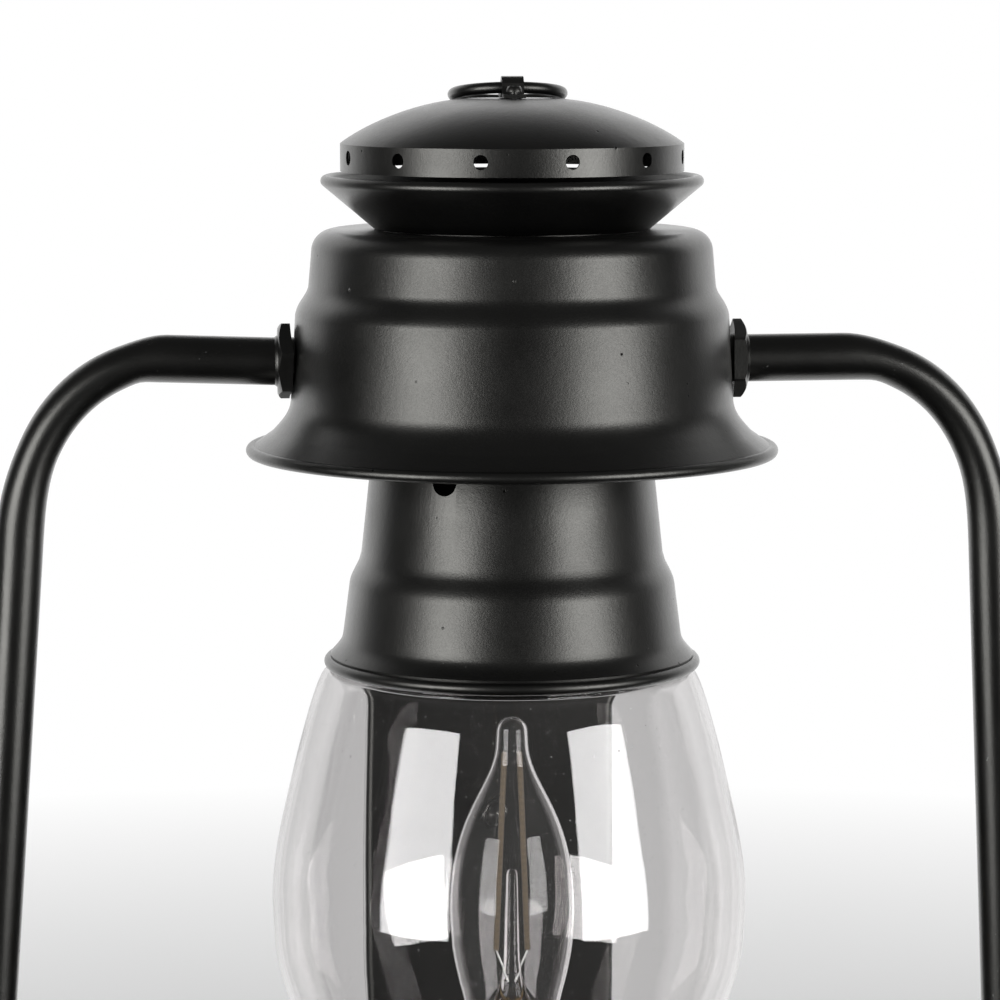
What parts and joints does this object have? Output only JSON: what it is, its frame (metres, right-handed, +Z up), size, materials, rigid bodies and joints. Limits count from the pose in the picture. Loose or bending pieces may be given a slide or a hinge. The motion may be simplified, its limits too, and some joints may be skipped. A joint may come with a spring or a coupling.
{
  "type": "barn lantern wall light",
  "caption": "Electric wall light in the shape of a barn lantern: stepped hood, bent side tubes, clear glass globe with a bulb, tank base and a rectangular wall plate.",
  "frame": {"origin": "middle of the mounting bar's back face, in the plane of the wall", "axes": "+Z up, +Y into the wall, +X to the right of somebody who faces the lantern; the lantern's axis is vertical, 100 mm in front of the wall"},
  "size_m": [0.3006, 0.1817, 0.3597],
  "materials": {
    "black_paint": "satin black enamel over pressed steel",
    "zinc": "zinc-plated steel",
    "brass": "plain brass",
    "phenolic": "moulded phenolic",
    "rubber": "black rubber",
    "spring_steel": "bright spring steel",
    "globe_glass": "clear blown glass",
    "bulb_glass": "clear thin glass",
    "phosphor": "yellow filament coating",
    "green_paint": "green screw"
  },
  "bodies": {
    "frame": {"hood": "black_paint", "side_tube_left": "black_paint", "side_tube_right": "black_paint", "hood_nut_left": "black_paint", "hood_nut_right": "black_paint", "tank_nut_left": "black_paint", "tank_nut_right": "black_paint", "globe_gallery": "black_paint", "burner_collar": "black_paint", "socket_sleeve": "black_paint", "tank": "black_paint", "tank_base": "black_paint", "base_nut": "black_paint", "filler_neck": "black_paint", "switch_nut": "black_paint", "wall_plate": "black_paint", "cap_nut_upper": "black_paint", "cap_nut_lower": "black_paint", "back_spacer": "black_paint", "hood_jam_nut_left": "zinc", "hood_jam_nut_right": "zinc", "tank_jam_nut_left": "zinc", "tank_jam_nut_right": "zinc", "holder_bridge": "zinc", "bridge_screw_left": "zinc", "bridge_screw_right": "zinc", "mounting_bar": "zinc", "plate_screw_upper": "zinc", "plate_screw_lower": "zinc", "back_nipple": "zinc", "plate_lock_nut": "zinc", "tank_lock_nut": "zinc", "holder_shell": "brass", "holder_contact": "brass", "centre_rod": "brass", "rod_nut": "brass", "lamp_holder": "phenolic", "switch_body": "phenolic", "globe_seat": "rubber", "wall_gasket": "rubber", "chimney_spring": "spring_steel", "ground_screw": "green_paint"},
    "chimney": {"neck": "black_paint", "crown_cone": "black_paint", "crown_cap": "black_paint", "ring_saddle": "black_paint", "saddle_rivet_front": "black_paint", "saddle_rivet_back": "black_paint", "spring_seat": "zinc"},
    "ring": {"lift_ring": "black_paint"},
    "globe": {"globe": "globe_glass"},
    "bulb": {"bulb_glass": "bulb_glass", "bulb_cap": "brass", "bulb_contact": "zinc", "bulb_stem": "bulb_glass", "bulb_filament_1": "phosphor", "bulb_filament_2": "phosphor"},
    "switch": {"wick_knob": "black_paint", "switch_shaft": "zinc"},
    "filler": {"filler_cap": "black_paint"}
  },
  "joints": [
    {"name": "chimney_lift", "type": "slide", "parent": "frame", "child": "chimney", "axis": [0, 0, 1], "range_m": [0, 0.028], "stiffness_N_per_m": 250, "springref_m": -0.02, "deforming": ["chimney_spring"]},
    {"name": "ring_swing", "type": "hinge", "parent": "chimney", "child": "ring", "pos_m": [0, -0.1, 0.254], "axis": [1, 0, 0], "range_deg": [0, 196]},
    {"name": "globe_lift", "type": "slide", "parent": "frame", "child": "globe", "axis": [0, 0, 1], "range_m": [0, 0.01]},
    {"name": "bulb_out", "type": "slide", "parent": "frame", "child": "bulb", "axis": [0, 0, 1], "range_m": [0, 0.026]},
    {"name": "switch_turn", "type": "hinge", "parent": "frame", "child": "switch", "pos_m": [0, -0.175, -0.077], "axis": [0, -1, 0], "continuous": true},
    {"name": "filler_turn", "type": "hinge", "parent": "frame", "child": "filler", "pos_m": [0.03448, -0.14413, -0.05407], "axis": [0.2204, -0.2821, 0.9337], "range_deg": [0, 540]}
  ],
  "couplings": [
    {"joint": "globe_lift", "follows": "chimney_lift", "ratio": 0.357}
  ]
}
